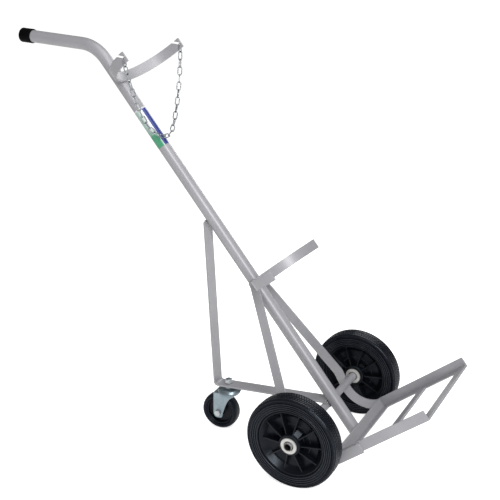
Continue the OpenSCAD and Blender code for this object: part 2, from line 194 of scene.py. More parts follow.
def make_paint(name="frame_paint", bore=False):
    m = Nodes(name)
    tone = m.noise(9.0, 4.0, 0.55)
    fine = m.noise(420.0, 2.0, 0.5)
    col = m.ramp(tone, [(0.30, (0.252, 0.251, 0.268)), (0.72, (0.284, 0.283, 0.300))])
    # metal flake of the silver paint
    flake = m.ramp(m.voronoi(1500.0), [(0.0, 0.90), (1.0, 1.08)])
    col = m.mix(1.0, col, flake, "MULTIPLY")
    # dust held in corners, a few rubbed edges
    edge = m.edge(0.0013)
    rub = m.math("MULTIPLY", edge, m.ramp(m.noise(60.0, 5.0, 0.65), [(0.56, 0.0), (0.66, 0.55)]))
    col = m.mix(rub, col, (0.46, 0.45, 0.455))
    scuff = m.ramp(m.noise(32.0, 6.0, 0.7, 0.6, m.join(*[m.math("MULTIPLY", a, k) for a, k in zip(m.split(), (1.0, 3.0, 0.6))])),
                   [(0.66, 0.0), (0.74, 0.35)])
    col = m.mix(m.math("MULTIPLY", scuff, 0.5), col, (0.20, 0.195, 0.20))
    if bore:
        # painted shade: the tube's bore is coloured near black for the shadow deep within it
        painted_bore_shade = m.math("LESS_THAN", axle_radius(m), 0.0101)
        col = m.mix(painted_bore_shade, col, m.ramp(m.noise(150.0, 4.0), [(0.3, (0.006, 0.0055, 0.005)), (0.7, (0.014, 0.012, 0.011))]))
    rough = m.ramp(m.noise(34.0, 4.0, 0.6), [(0.25, 0.40), (0.8, 0.52)])
    m.set(Base_Color=col, Metallic=0.12, Roughness=rough, Specular_IOR_Level=0.38, Coat_Weight=0.48, Coat_Roughness=0.30)
    m.bump((m.noise(26.0, 2.0), 0.10, 0.0004), (fine, 0.16, 0.00012))
    return m.mat


def make_weld():
    m = Nodes("weld_paint")
    col = m.ramp(m.noise(160.0, 4.0), [(0.3, (0.25, 0.248, 0.262)), (0.75, (0.34, 0.338, 0.352))])
    m.set(Base_Color=col, Metallic=0.2, Roughness=m.ramp(m.noise(240.0), [(0.3, 0.30), (0.7, 0.46)]), Coat_Weight=0.2, Coat_Roughness=0.25)
    m.bump((m.noise(900.0, 3.0), 0.35, 0.00025))
    return m.mat


def make_rubber(name, base, rough=(0.40, 0.58), spec=0.22, dust=0.10, tint=(1.0, 1.0, 1.0), crest_highlights=False):
    m = Nodes(name)
    tone = m.noise(22.0, 5.0, 0.6)
    col = m.ramp(tone, [(0.3, tuple(0.75 * c for c in base)), (0.75, tuple(1.35 * c for c in base))])
    # grey bloom and floor dust in random patches
    d = m.math("MULTIPLY", m.ramp(m.noise(75.0, 6.0, 0.72), [(0.45, 0.0), (0.80, 1.0)]), dust)
    col = m.mix(d, col, (0.040, 0.041, 0.045))
    if crest_highlights:
        # painted highlight: the rings on the wheel's wall are lighter along their tops, standing in for the glint of
        # light on them
        r = axle_radius(m)
        ph = m.math("FRACT", m.math("DIVIDE", m.math("SUBTRACT", r, 0.0922), 0.0054))
        top = m.ramp(ph, [(0.0, 0.0), (0.16, 0.0), (0.34, 1.0), (0.52, 0.0), (1.0, 0.0)])
        band = m.math("MULTIPLY", m.math("GREATER_THAN", r, 0.0921), m.math("LESS_THAN", r, 0.1128))
        rub = m.math("MULTIPLY", m.math("MULTIPLY", top, band), m.ramp(m.noise(30.0, 4.0, 0.6), [(0.35, 0.25), (0.7, 0.85)]))
        col = m.mix(rub, col, (0.046, 0.049, 0.058))
    # painted highlight: every edge and ridge top is lightened, standing in for the glint of light along it
    e = m.math("MULTIPLY", m.edge(0.0009), 0.20)
    col = m.mix(e, col, (0.070, 0.073, 0.080))
    m.set(Base_Color=col, Roughness=m.ramp(m.noise(50.0, 4.0), [(0.25, rough[0]), (0.8, rough[1])]), Specular_IOR_Level=spec, Specular_Tint=tint)
    m.bump((m.noise(120.0, 3.0), 0.12, 0.0003), (m.noise(1400.0, 2.0), 0.22, 0.0001))
    return m.mat


def make_hub():
    m = Nodes("hub_plastic")
    col = m.ramp(m.noise(18.0, 4.0), [(0.3, (0.0020, 0.0023, 0.0036)), (0.75, (0.0042, 0.0047, 0.0070))])
    # painted highlight: rib and rim edges are lightened, standing in for the glint of light along them
    e = m.math("MULTIPLY", m.edge(0.0010), m.ramp(m.noise(90.0, 4.0), [(0.35, 0.30), (0.7, 0.80)]))
    col = m.mix(e, col, (0.090, 0.094, 0.105))
    # scratches from handling
    x, y, z = m.split()
    s = m.noise(40.0, 3.0, 0.5, 1.2, m.join(m.math("MULTIPLY", x, 14.0), y, z))
    sc = m.ramp(s, [(0.63, 0.0), (0.655, 0.35), (0.68, 0.0)])
    col = m.mix(m.math("MULTIPLY", sc, 0.30), col, (0.055, 0.056, 0.060))
    m.set(Base_Color=col, Roughness=m.ramp(m.noise(46.0, 5.0, 0.65), [(0.25, 0.24), (0.8, 0.38)]), Specular_IOR_Level=0.18, Specular_Tint=(0.76, 0.86, 1.0))
    m.bump((m.noise(70.0, 2.0), 0.10, 0.0004), (m.noise(1900.0, 2.0), 0.20, 0.00008))
    return m.mat


def make_zinc(name, a, b, rough=(0.26, 0.44), metal=0.9):
    m = Nodes(name)
    cells = m.ramp(m.voronoi(260.0), [(0.0, 0.90), (1.0, 1.06)])
    col = m.mix(1.0, m.ramp(m.noise(42.0, 5.0, 0.6), [(0.3, a), (0.7, b)]), cells, "MULTIPLY")
    stain = m.ramp(m.noise(120.0, 6.0, 0.75), [(0.62, 0.0), (0.76, 0.5)])
    col = m.mix(m.math("MULTIPLY", stain, 0.45), col, tuple(0.55 * c for c in a))
    m.set(Base_Color=col, Metallic=metal, Roughness=m.ramp(m.noise(90.0, 5.0, 0.7), [(0.25, rough[0]), (0.8, rough[1])]))
    m.bump((m.noise(60.0, 3.0), 0.10, 0.0004), (m.noise(700.0, 3.0), 0.12, 0.0001))
    return m.mat


def make_washer():
    m = Nodes("washer_steel")
    r = axle_radius(m)
    rings = m.noise(1.0, 2.0, 0.5, 0.0, m.join(m.math("MULTIPLY", r, 2600.0), 0.0, 0.0))
    col = m.ramp(m.noise(55.0, 5.0, 0.65), [(0.3, (0.43, 0.425, 0.41)), (0.7, (0.56, 0.55, 0.53))])
    col = m.mix(1.0, col, m.ramp(rings, [(0.3, 0.90), (0.7, 1.05)]), "MULTIPLY")
    e = m.math("MULTIPLY", m.edge(0.0008), 0.4)
    col = m.mix(e, col, (0.66, 0.66, 0.65))
    rim = m.ramp(m.math("MULTIPLY", r, 10.0), [(0.0, 0.0), (0.204, 0.0), (0.216, 1.0), (1.0, 1.0)])
    col = m.mix(m.math("MULTIPLY", rim, 0.55), col, (0.12, 0.12, 0.12))
    # painted shade: the recess beside the axle is coloured near black
    recess_shade = m.ramp(m.math("MULTIPLY", r, 10.0), [(0.0, 1.0), (0.124, 1.0), (0.131, 0.0), (1.0, 0.0)])
    col = m.mix(m.math("MULTIPLY", recess_shade, 0.93), col, (0.020, 0.019, 0.018))
    m.set(Base_Color=col, Metallic=0.45, Roughness=m.ramp(m.noise(150.0, 4.0), [(0.3, 0.34), (0.75, 0.52)]))
    m.bump((rings, 0.15, 0.00015), (m.noise(900.0), 0.12, 0.0001))
    return m.mat


def make_label():
    """Printed film: coloured bands only."""
    m = Nodes("label_film")
    mp = m.nt.nodes.new("ShaderNodeMapping")
    mp.vector_type = "TEXTURE"
    mp.inputs["Location"].default_value = AXLE + Vector(W(27.65, 0, 0) - AXLE)
    mp.inputs["Rotation"].default_value = (0.0, -TILT, 0.0)
    m.link(m.co, mp.inputs["Vector"])
    f, y, s = m.split(mp.outputs[0])
    ang = m.math("ARCTAN2", y, f)                    # 0 in front, minus on the right, plus on the left
    u = m.math("DIVIDE", m.math("ADD", ang, math.pi), 2 * math.pi)
    v = m.math("DIVIDE", m.math("SUBTRACT", s, 0.8195), 0.1185)
    wob = m.math("MULTIPLY", m.math("SUBTRACT", m.noise(20.0, 2.0), 0.5), 0.012)
    u = m.math("ADD", u, wob)
    col = m.ramp(u, [(0.0, (0.13, 0.27, 0.22)), (0.20, (0.25, 0.37, 0.32)), (0.27, (0.34, 0.44, 0.40)),
                     (0.31, (0.52, 0.55, 0.55)), (0.388, (0.55, 0.57, 0.60)), (0.398, (0.018, 0.032, 0.20)), (0.47, (0.014, 0.026, 0.17))])
    low = m.ramp(v, [(0.0, 1.0), (0.31, 0.94), (0.34, 0.40), (0.46, 0.12), (0.52, 0.0)])
    green = m.mix(m.math("MULTIPLY", low, m.ramp(u, [(0.375, 1.0), (0.39, 0.0)])), col, (0.035, 0.24, 0.12))
    border = m.ramp(v, [(0.0, 1.0), (0.955, 1.0), (0.97, 0.0), (1.0, 0.0)])
    col = m.mix(border, (0.46, 0.48, 0.50), green)
    worn = m.ramp(m.noise(90.0, 5.0, 0.7), [(0.66, 0.0), (0.74, 0.6)])
    col = m.mix(m.math("MULTIPLY", worn, 0.4), col, (0.42, 0.43, 0.44))
    m.set(Base_Color=col, Roughness=m.ramp(m.noise(60.0), [(0.3, 0.24), (0.8, 0.40)]), Coat_Weight=0.18, Coat_Roughness=0.18)
    m.bump((m.noise(55.0, 3.0), 0.25, 0.0003))
    return m.mat


def make_grip():
    m = Nodes("grip_plastic")
    col = m.ramp(m.noise(40.0, 4.0), [(0.3, (0.0010, 0.0010, 0.0012)), (0.75, (0.0024, 0.0024, 0.0028))])
    e = m.math("MULTIPLY", m.edge(0.0012), 0.12)
    col = m.mix(e, col, (0.03, 0.03, 0.03))
    m.set(Base_Color=col, Roughness=m.ramp(m.noise(80.0, 4.0), [(0.3, 0.44), (0.8, 0.60)]), Specular_IOR_Level=0.04)
    m.bump((m.noise(300.0, 2.0), 0.15, 0.0002), (m.voronoi(1600.0, "Distance"), 0.3, 0.00012))
    return m.mat


MAT = {
    "frame_paint": make_paint(),
    "axle_paint": make_paint("axle_paint", True),
    "weld": make_weld(),
    "tyre_rubber": make_rubber("tyre_rubber", (0.0026, 0.0030, 0.0056), (0.24, 0.34), spec=0.21, dust=0.03, tint=(0.74, 0.86, 1.0), crest_highlights=True),
    "castor_rubber": make_rubber("castor_rubber", (0.0036, 0.0044, 0.0082), (0.30, 0.44), spec=0.18, dust=0.04, tint=(0.74, 0.86, 1.0)),
    "hub_plastic": make_hub(),
    "grip_plastic": make_grip(),
    "zinc_steel": make_zinc("zinc_steel", (0.215, 0.268, 0.300), (0.300, 0.358, 0.388), (0.32, 0.48)),
    "zinc_bright": make_zinc("zinc_bright", (0.40, 0.42, 0.43), (0.52, 0.54, 0.55), (0.28, 0.42), 0.55),
    "chain_steel": make_zinc("chain_steel", (0.20, 0.22, 0.235), (0.33, 0.35, 0.36), (0.24, 0.36)),
    "ball_steel": make_zinc("ball_steel", (0.58, 0.58, 0.59), (0.70, 0.70, 0.71), (0.12, 0.24), 1.0),
    "bush_plastic": make_rubber("bush_plastic", (0.030, 0.030, 0.031), (0.35, 0.5), dust=0.06),
    "washer_steel": make_washer(),
    "label_film": make_label(),
}

# CAD objects that stay visible get the same materials through their slots
for n, o in NODE.items():
    o.data.materials.clear()
    o.data.materials.append(MAT[SLOT[n]])


# ------------------------------------------------------------------ mesh tools
def finish_piece(bm, name, body, slot, mat=None, nodes=(), sharp=38.0, bevel=None, seg=2, limit=32.0):
    bmesh.ops.recalc_face_normals(bm, faces=bm.faces)
    me = bpy.data.meshes.new(name)
    bm.to_mesh(me)
    bm.free()
    o = bpy.data.objects.new(name, me)
    scene.collection.objects.link(o)
    me.materials.append(MAT[mat or slot])
    me.shade_smooth()
    me.set_sharp_from_angle(angle=math.radians(sharp))
    if bevel:
        b = o.modifiers.new("bevel", "BEVEL")
        b.width = bevel
        b.segments = seg
        b.limit_method = "ANGLE"
        b.angle_limit = math.radians(limit)
        b.use_clamp_overlap = True
        b.harden_normals = True
    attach(o, body)
    if nodes:
        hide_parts(*nodes)
    return o


def from_node(node, bevel, name=None, sharp=38.0, limit=32.0, seg=2, merge=None, mat=None):
    """The CAD node's own shape with its sharp edges rounded."""
    bm = bmesh.new()
    bm.from_mesh(NODE[node].data)
    bmesh.ops.remove_doubles(bm, verts=bm.verts, dist=merge or 2e-6)
    bmesh.ops.dissolve_limit(bm, angle_limit=math.radians(0.6), verts=bm.verts, edges=bm.edges)
    return finish_piece(bm, name or node + "_finished", BODY[node], SLOT[node], mat=mat, nodes=(node,), sharp=sharp, bevel=bevel, limit=limit, seg=seg)


def frame_at(p, axis):
    """Matrix whose local Z is the given axis, at p."""
    q = Vector((0, 0, 1)).rotation_difference(Vector(axis).normalized())
    return Matrix.Translation(p) @ q.to_matrix().to_4x4()


def revolve(bm, prof, M, n=128, closed=True, wave=None):
    """Turns a closed profile of (radius, height) points about local Z of M. wave(i, j, r, h) may move a point."""
    rings = []
    for i in range(n):
        a = 2 * math.pi * i / n
        ring = []
        for j, (r, h) in enumerate(prof):
            if wave:
                r, h = wave(i, j, r, h)
            ring.append(bm.verts.new(M @ Vector((r * math.cos(a), r * math.sin(a), h))))
        rings.append(ring)
    m = len(prof)
    for i in range(n):
        p, q = rings[i], rings[(i + 1) % n]
        for j in range(m if closed else m - 1):
            k = (j + 1) % m
            bm.faces.new((p[j], p[k], q[k], q[j]))


def round_profile(pts, rad, seg=3):
    """Rounds the corners of a closed profile; rad is one radius or a list."""
    out = []
    n = len(pts)
    for i, p in enumerate(pts):
        a, b, c = Vector(pts[i - 1]), Vector(p), Vector(pts[(i + 1) % n])
        r = rad[i] if isinstance(rad, (list, tuple)) else rad
        u, v = (a - b), (c - b)
        lu, lv = u.length, v.length
        if r <= 0 or lu < 1e-9 or lv < 1e-9:
            out.append((b.x, b.y))
            continue
        u, v = u / lu, v / lv
        ang = math.acos(max(-1.0, min(1.0, u.dot(v))))
        if ang > math.pi - 0.15:
            out.append((b.x, b.y))
            continue
        t = min(r / math.tan(ang / 2), lu * 0.45, lv * 0.45)
        p0, p1 = b + u * t, b + v * t
        for k in range(seg + 1):
            w = k / seg
            q = p0.lerp(b, w).lerp(b.lerp(p1, w), w)
            out.append((q.x, q.y))
    return out


def sweep(bm, path, rad, n=10, closed=False, up=Vector((0, 0, 1))):
    """A tube along points; rad may be a list. Open ends are capped flat."""
    m = len(path)
    rings = []
    prev = None
    for i, p in enumerate(path):
        a = path[i - 1] if (closed or i) else path[0]
        b = path[(i + 1) % m] if (closed or i < m - 1) else path[-1]
        t = (b - a).normalized()
        if prev is None:
            side = t.cross(up)
            if side.length < 1e-4:
                side = t.cross(Vector((1, 0, 0)))
            side.normalize()
        else:
            side = (prev - t * prev.dot(t)).normalized()
        prev = side
        nrm = side.cross(t)
        r = rad[i] if isinstance(rad, (list, tuple)) else rad
        rings.append([bm.verts.new(p + (side * math.cos(2 * math.pi * k / n) + nrm * math.sin(2 * math.pi * k / n)) * r) for k in range(n)])
    for i in range(m if closed else m - 1):
        p, q = rings[i], rings[(i + 1) % m]
        for k in range(n):
            bm.faces.new((p[k], p[(k + 1) % n], q[(k + 1) % n], q[k]))
    if not closed:
        for ring, other in ((rings[0], path[0]), (rings[-1], path[-1])):
            c = bm.verts.new(other)
            for k in range(n):
                bm.faces.new((ring[k], ring[(k + 1) % n], c))


def prism(bm, outline, M, h0, h1, taper=0.0):
    """A closed outline of (x, y) points extruded along local Z of M."""
    lo = [bm.verts.new(M @ Vector((x, y, h0))) for x, y in outline]
    hi = [bm.verts.new(M @ Vector((x, y, h1))) for x, y in outline]
    n = len(outline)
    for i in range(n):
        bm.faces.new((lo[i], lo[(i + 1) % n], hi[(i + 1) % n], hi[i]))
    bm.faces.new(lo[::-1])
    bm.faces.new(hi)


# ------------------------------------------------------------------ frame
for n in ("upper_cradle", "lower_cradle", "left_strut", "right_strut", "rear_leg", "foot_back_angle",
          "foot_left_angle", "foot_right_angle", "foot_front_bar", "foot_middle_bar"):
    from_node(n, 0.0007, sharp=30.0, limit=28.0)


def spine_mesh():
    """The bent tube, one smooth skin with its bore."""
    bm = bmesh.new()
    length, rise, hlen, br, r, wall = 1146.0, 8.2, 253.5, 105.0, 17.0, 2.6
    ba = math.radians(90 - 33.6 - rise)
    bt = br * math.tan(ba / 2)
    s0 = -85.0 - 28.0 + 2.0
    pts = []
    for i in range(25):
        pts.append((0.0, s0 + (length - bt - s0) * i / 24))
    for i in range(1, 33):
        a = ba * i / 32
        pts.append((-br + br * math.cos(a), length - bt + br * math.sin(a)))
    run = hlen - bt - 3.0
    c, s = math.cos(ba), math.sin(ba)
    x0, z0 = pts[-1]
    for i in range(1, 9):
        pts.append((x0 - s * run * i / 8, z0 + c * run * i / 8))
    n = 64
    skins = []
    for rr in (r, r - wall):
        rings = []
        for i, (x, z) in enumerate(pts):
            a, b = pts[max(0, i - 1)], pts[min(len(pts) - 1, i + 1)]
            if i <= 24:
                t = Vector((0, 0, 1))
            elif i >= 24 + 32:
                t = Vector((-s, 0, c))
            else:
                an = ba * (i - 24) / 32
                t = Vector((-math.sin(an), 0, math.cos(an)))
            side = Vector((0, 1, 0))
            nrm = side.cross(t)
            rings.append([bm.verts.new(SPINE @ ((Vector((27.65 + x, 0, z)) + (side * math.cos(2 * math.pi * k / n) + nrm * math.sin(2 * math.pi * k / n)) * rr) * MM)) for k in range(n)])
        skins.append(rings)
    for rings in skins:
        for i in range(len(pts) - 1):
            for k in range(n):
                bm.faces.new((rings[i][k], rings[i][(k + 1) % n], rings[i + 1][(k + 1) % n], rings[i + 1][k]))
    for e in (0, len(pts) - 1):
        for k in range(n):
            bm.faces.new((skins[0][e][k], skins[0][e][(k + 1) % n], skins[1][e][(k + 1) % n], skins[1][e][k]))
    return finish_piece(bm, "spine_tube_finished", "frame", "frame_paint", nodes=("spine_tube",), bevel=0.0005, limit=40.0)


spine_mesh()


# weld beads, all in one piece
def bead(bm, a, b, r, seed, bow=None):
    """A rippled fillet weld from a to b (row points)."""
    rnd = random.Random(seed)
    d = (b - a).length
    n = max(5, int(d / 0.0011))
    path, rad = [], []
    for i in range(n + 1):
        t = i / n
        p = a.lerp(b, t)
        if bow is not None:
            p = p + bow * (4 * t * (1 - t))
        end = min(1.0, min(i, n - i) / 2.2 + 0.35)
        rip = 0.86 + 0.16 * abs(math.sin(math.pi * d * t / 0.0034)) + rnd.uniform(-0.05, 0.05)
        path.append(p + Vector([rnd.uniform(-1, 1) * r * 0.06 for _ in range(3)]))
        rad.append(r * rip * end)
    sweep(bm, path, rad, n=10)


wb = bmesh.new()
r = 0.0021
cr_f, cr_ro = 177.15, 132.5
for s0, s1 in ((362.0, 389.5), (1018.5, 1046.0)):      # cradles on the front of the tube
    for m in (-1, 1):
        y = 6.5 * m
        f = cr_f - math.sqrt(cr_ro ** 2 - y ** 2) - 0.6
        bead(wb, W(f, y, s0 + 1.5), W(f, y, s1 - 2.5), r * 0.85, int(s0) + m)
for m in (-1, 1):                                       # strut tabs on the sides of the tube
    bead(wb, W(20.6, 16.9 * m, 388.2), W(33.0, 16.8 * m, 388.2), r * 0.85, 50 + m, Vector((0, 0.0004 * m, 0)))
    bead(wb, W(18.2, 15.6 * m, 372), W(19.4, 16.0 * m, 386.5), r * 0.8, 60 + m)
    # struts on the foot angle: along the top edge and up the front end
    bead(wb, W(72, 158.4 * m, -88.3), W(121, 158.4 * m, -88.3), r * 0.85, 70 + m)
    bead(wb, W(125.3, 158.4 * m, -111), W(125.3, 158.4 * m, -91), r * 0.9, 80 + m)
    # mitred corners of the foot frame
    bead(wb, W(45.6, 156.4 * m, -111), W(45.6, 156.4 * m, -87), r * 0.8, 90 + m)
    bead(wb, W(48.2, 154.2 * m, -109.8), W(71, 132, -109.8) if m > 0 else W(71, -132, -109.8), r * 0.7, 94 + m)
    # cross bars in the angle
    bead(wb, W(310.5, 154.4 * m, -106.6), W(331.5, 154.4 * m, -106.6), r * 0.8, 30 + m)
    bead(wb, W(183.0, 129.9 * m, -109.4), W(205.0, 129.9 * m, -109.4), r * 0.8, 33 + m)
    # axle on the back of the spine, above and below
    bead(wb, W(8.2, 11.0 * m, 8.4), W(8.9, 1.0 * m, 7.6), r, 100 + m)
    bead(wb, W(8.2, 11.0 * m, -8.4), W(8.9, 1.0 * m, -7.6), r, 110 + m)
    # spine on the back angle
    bead(wb, W(43.9, 6.0 * m, -110), W(43.9, 6.0 * m, -86), r, 120 + m)
# rear leg: both ends on the back of the spine
for z0, zz in ((0.136, 0.141),):
    for z in (z0 - 0.0004, zz + 0.0004):
        s = (z - 0.125 - 10.65 * MM * math.sin(TILT)) / math.cos(TILT) / MM
        bead(wb, W(10.2, -14.5, s), W(10.2, 14.5, s), r * 1.05, int(z * 9000), SPINE.to_3x3() @ Vector((0.0012, 0, 0)))
lean = math.radians(2.6)


def leg_hit(rr):
    """Where an upright face of the rear leg, at distance rr from the bend's centre, meets the plane f = 10.65."""
    ro = 12.0
    tl = ro / math.tan((math.pi / 2 - lean) / 2)
    cx, cz = -343.0 + tl, 136.0 + ro
    px, pz = cx - rr * math.cos(lean), cz + rr * math.sin(lean)
    dx, dz = math.sin(lean), math.cos(lean)
    # f = x cos + (z - 125) sin
    f0 = px * math.cos(TILT) + (pz - 125) * math.sin(TILT)
    df = dx * math.cos(TILT) + dz * math.sin(TILT)
    t = (10.65 - f0) / df
    x, z = px + dx * t, pz + dz * t
    return -x * math.sin(TILT) + (z - 125) * math.cos(TILT)


# the wedge above the leg's level-cut end, and the corner in front of it
bead(wb, W(9.9, -15.0, 591.4), W(9.9, 15.0, 591.4), 0.0025, 300, SPINE.to_3x3() @ Vector((0.0010, 0, 0.0002)))
s = leg_hit(6.7)
bead(wb, W(10.2, -14.5, s), W(10.2, 14.5, s), r * 1.05, 301, SPINE.to_3x3() @ Vector((0.0012, 0, 0)))
finish_piece(wb, "weld_beads", "frame", "frame_paint", mat="weld", sharp=75.0)


# push-on cap of the handle
def grip_mesh():
    bm = bmesh.new()
    br = 105.0
    ba = math.radians(90 - 33.6 - 8.2)
    bt = br * math.tan(ba / 2)
    run = 253.5 - bt - 3.0
    M = SPINE @ Matrix.Translation(Vector((27.65 - br, 0, 1146 - bt)) * MM) @ Matrix.Rotation(-ba, 4, "Y") @ Matrix.Translation(Vector((br, 0, run + 3 - 39)) * MM)
    prof = [(17.05, 0.0), (18.6, 0.0), (19.5, 0.7), (19.9, 2.0), (19.9, 3.6), (19.45, 4.6)]
    h = 7.0
    while h < 30:
        prof += [(19.45, h - 0.9), (19.75, h), (19.45, h + 0.9)]
        h += 3.4
    prof += [(19.5, 32.5), (19.9, 34.0), (19.9, 35.6), (19.2, 37.4), (17.6, 38.6), (15.4, 39.0), (4.0, 38.9), (3.2, 38.3), (0.02, 38.2),
             (0.02, 36.0), (17.05, 36.0)]
    revolve(bm, [(a * MM, b * MM) for a, b in prof], M, 96)
    bmesh.ops.remove_doubles(bm, verts=bm.verts, dist=5e-5)
    return finish_piece(bm, "handle_grip_finished", "frame", "grip_plastic", nodes=("handle_grip",), sharp=60.0)


grip_mesh()

from_node("axle_tube", 0.0004, sharp=40.0, limit=40.0, mat="axle_paint")
for n, w in (("axle_inner_washers", 0.0005), ("axle_outer_washers", 0.0004)):
    from_node(n, w, sharp=40.0, limit=40.0)


# ------------------------------------------------------------------ main wheels
def wheel_matrix(side):
    """Local Z points out of the wheel's outer face."""
    M = Matrix.Translation(AXLE + Vector((0, 0.208 * side, 0)))
    return M @ Matrix.Rotation(math.radians(-90 * side), 4, "X")


def tyre_mesh(side, name, node, body):
    bm = bmesh.new()
    # from the rim out along one side wall: (radius, height)
    half = [(91.0, 18.9), (91.6, 20.6)]

    def ring(r0, w, base, top):
        # a rounded ring of width w that stands on the wall
        return [(r0 + w * (0.5 - 0.5 * math.cos(math.pi * k / 6)), base + (top - base) * math.sin(math.pi * k / 6)) for k in range(7)]

    for r0, w, base, top in ((92.2, 3.7, 20.6, 22.9), (97.6, 3.7, 20.9, 23.4), (103.0, 3.7, 21.2, 23.8), (108.4, 3.7, 21.2, 23.85)):
        half += ring(r0, w, base, top)
    half += [(113.4, 21.6), (114.4, 22.5), (115.6, 22.3), (116.4, 21.2), (117.2, 21.0)] + ring(117.8, 3.4, 21.2, 23.2) + [(122.0, 20.6), (122.9, 19.4)]
    tread = []
    for y in (18.4, 12.2, 6.0):
        top = 125.0 - 1.0 * (abs(y - 2.0) / 19.0) ** 2.2
        tread += [(top - 1.8, y + 0.35), (top - 0.5, y), (top, y - 0.9), (top, y - 3.5), (top - 0.5, y - 4.4), (top - 1.8, y - 4.75)]
    tread += [(123.3, 0.7)]
    prof = half + tread
    prof = prof + [(a, -b) for a, b in prof[::-1]]
    prof += [(90.95, -6.0), (90.95, 6.0)]
    prof = [(a * MM, b * MM) for a, b in prof]
    tread_lo = 122.9 * MM

    def wave(i, j, r, h):
        # diagonal knurl on the raised ribs of the tread
        if r > tread_lo + 0.0002 and abs(h) < 0.0182:
            ph = i / 4.0 + abs(h) * 260.0
            k = math.cos(2 * math.pi * ph)
            if r > 0.1236:
                r -= 0.00022 * (1 - k)
        return r, h

    revolve(bm, prof, wheel_matrix(side), 448, wave=wave)
    return finish_piece(bm, name, body, "tyre_rubber", nodes=(node,), sharp=26.0)


def hub_mesh(side, name, node, body):
    bm = bmesh.new()
    M = wheel_matrix(side)
    rim = [(84.8, -18.4), (86.2, -20.3), (88.4, -20.4), (90.6, -19.0), (90.9, -18.4), (90.9, 18.4), (90.6, 19.0), (88.4, 20.4), (86.2, 20.3), (84.8, 18.4),
           (73.2, 5.9), (69.0, 3.4), (62.0, 2.5), (31.0, 2.5), (29.6, 3.9), (29.2, 25.6), (27.6, 28.4), (25.6, 28.5), (20.2, 28.5), (19.4, 27.7), (13.05, 27.7),
           (13.05, -25.8), (19.4, -25.8), (20.2, -26.5), (25.6, -26.5), (27.6, -26.2), (29.2, -24.0), (29.6, -3.9), (31.0, -2.5), (62.0, -2.5), (69.0, -3.4), (73.2, -5.9)]
    revolve(bm, [(a * MM, b * MM) for a, b in round_profile(rim, 0.8, 2)], M, 144)
    # small moulded rings in the recess
    for h0, h1 in ((2.3, 3.2), (-2.3, -3.2)):
        revolve(bm, [(a * MM, b * MM) for a, b in round_profile([(46.0, h0), (46.0, h1), (47.6, h1), (47.6, h0)], 0.4, 2)], M, 120)
    o = finish_piece(bm, name, body, "hub_plastic", nodes=(node,), sharp=34.0)
    # ribs, a boss and a valve-side pad, as one further piece
    bm = bmesh.new()
    for i in range(10):
        a = math.radians(-1.3 + 36 * i) * 1.0
        # side view: radius along x, height along y, thickness along z
        R = M @ Matrix.Rotation(-a * side, 4, "Z") @ Matrix.Rotation(math.pi / 2, 4, "X")
        out = [(28.6, -21.2), (44.5, -19.2), (85.4, -14.2), (85.4, 14.2), (44.5, 20.2), (28.6, 23.2)]
        pts = [(x * MM, y * MM) for x, y in round_profile(out, [0, 2.5, 0, 0, 2.5, 0], 3)]
        prism(bm, pts, R, -0.0015, 0.0015)
    # boss beside the hub, with a rounded block in front of it
    a = math.radians(54)
    B = M @ Matrix.Rotation(a * -side, 4, "Z") @ Matrix.Translation(Vector((0.036, 0, 0)))
    revolve(bm, [(x * MM, y * MM) for x, y in round_profile([(0.01, -17.0), (5.6, -17.0), (6.0, 0.0), (5.6, 11.0), (0.01, 11.0)], 0.6, 2)], B, 32)
    # a sloped block on the outer side: radius along x, height along y, width along z
    K = B @ Matrix.Rotation(math.pi / 2, 4, "X")
    prism(bm, [(x * MM, y * MM) for x, y in round_profile([(-9.0, 1.0), (7.0, 1.0), (6.5, 10.5), (3.5, 14.0), (-4.5, 24.0), (-9.0, 24.6)], [0, 0, 2, 3, 3, 0], 3)], K, -0.0085, 0.0075)
    finish_piece(bm, name + "_ribs", body, "hub_plastic", sharp=60.0, bevel=0.0011, seg=3, limit=34.0)
    return o


for side, lr in ((1, "left"), (-1, "right")):
    tyre_mesh(side, lr + "_tyre_finished", lr + "_tyre", lr + "_wheel")
    hub_mesh(side, lr + "_hub_finished", lr + "_hub", lr + "_wheel")
    from_node(lr + "_bush", 0.0004, sharp=40.0, limit=40.0)

# ------------------------------------------------------------------ castor
for n, w in (("castor_top_race", 0.0004), ("castor_king_bolt", 0.0005), ("castor_king_nut", 0.0006), ("castor_spring_washer", 0.0003),
             ("castor_fork", 0.0009), ("castor_axle_bolt", 0.0006), ("castor_axle_nut", 0.0006), ("castor_sleeve", 0.0003)):
    from_node(n, w, sharp=36.0, limit=30.0, mat="zinc_bright" if n in ("castor_king_nut", "castor_axle_bolt", "castor_axle_nut") else None)

KING = Vector((-MID - 0.304, 0, 0))
TURN = math.radians(3)
CAX = KING + Vector((-0.033 * math.cos(TURN), -0.033 * math.sin(TURN), 0.054))
CDIR = Vector((-math.sin(TURN), math.cos(TURN), 0))


def castor_wheel():
    M = frame_at(CAX, CDIR)
    bm = bmesh.new()
    prof = [(40.0, -13.2), (41.2, -14.9), (43.0, -16.6), (45.0, -17.7), (46.8, -17.95), (48.0, -17.5), (50.0, -16.7), (51.6, -15.0), (52.8, -12.4),
            (53.5, -9.4), (53.9, -6.0), (54.0, -2.5), (54.0, 0.0)]
    prof = prof + [(a, -b) for a, b in prof[-2::-1]]
    revolve(bm, [(a * MM, b * MM) for a, b in prof], M, 160)
    finish_piece(bm, "castor_tyre_finished", "castor_wheel", "castor_rubber", nodes=("castor_tyre",), sharp=50.0)
    bm = bmesh.new()
    hub = [(8.05, -20.0), (12.6, -20.0), (13.6, -19.1), (14.4, -6.4), (16.0, -5.0), (33.0, -4.5), (34.4, -5.6), (35.2, -12.2), (36.4, -13.7), (38.6, -14.0), (39.95, -13.1)]
    hub = hub + [(a, -b) for a, b in hub[::-1]]
    revolve(bm, [(a * MM, b * MM) for a, b in round_profile(hub, 0.5, 2)], M, 128)
    finish_piece(bm, "castor_hub_finished", "castor_wheel", "hub_plastic", nodes=("castor_hub",), sharp=36.0)


castor_wheel()


